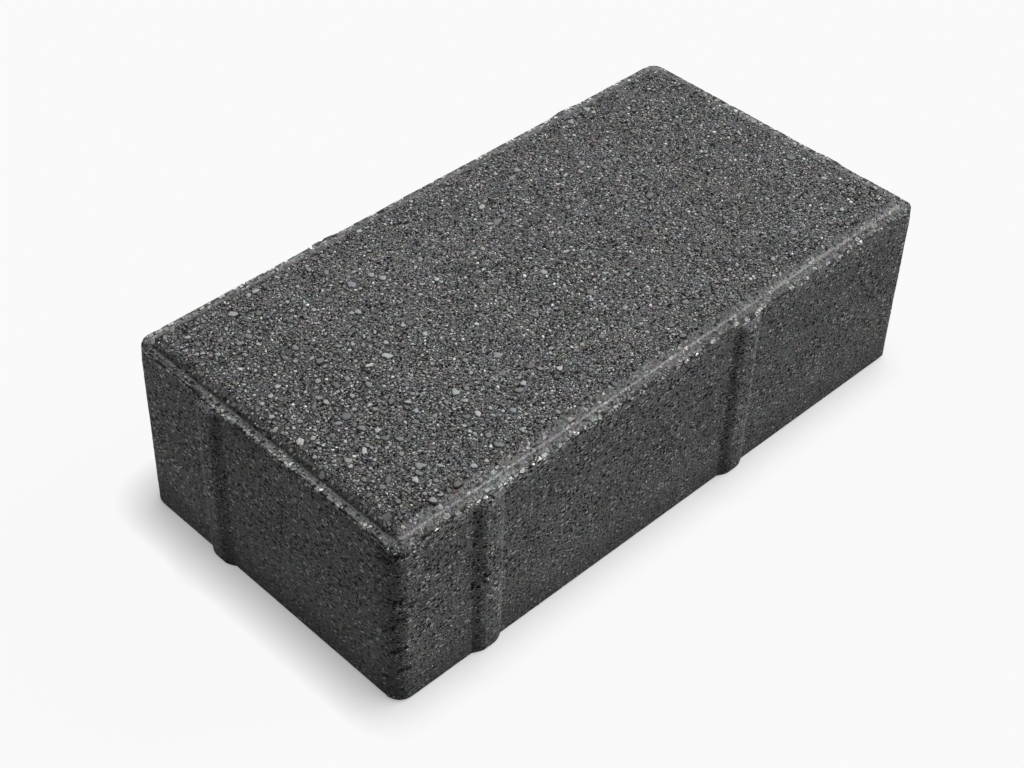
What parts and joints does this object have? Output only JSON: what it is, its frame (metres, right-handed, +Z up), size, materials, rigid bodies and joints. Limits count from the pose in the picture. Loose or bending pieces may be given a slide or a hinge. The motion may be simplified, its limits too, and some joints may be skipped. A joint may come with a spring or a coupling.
{
  "type": "concrete paving stone",
  "caption": "Rectangular concrete paving block with a bevelled rim and low spacer nibs on its walls, laid in rows to surface a path or drive.",
  "frame": {"origin": "centre of the base, on the ground it lies on", "axes": "+X along the length, +Y across the width, +Z up out of the worn face"},
  "size_m": [0.2028, 0.1048, 0.0585],
  "materials": {
    "concrete": "rough charcoal concrete with small pale aggregate"
  },
  "bodies": {
    "root": {"paving_stone": "concrete"}
  },
  "joints": []
}
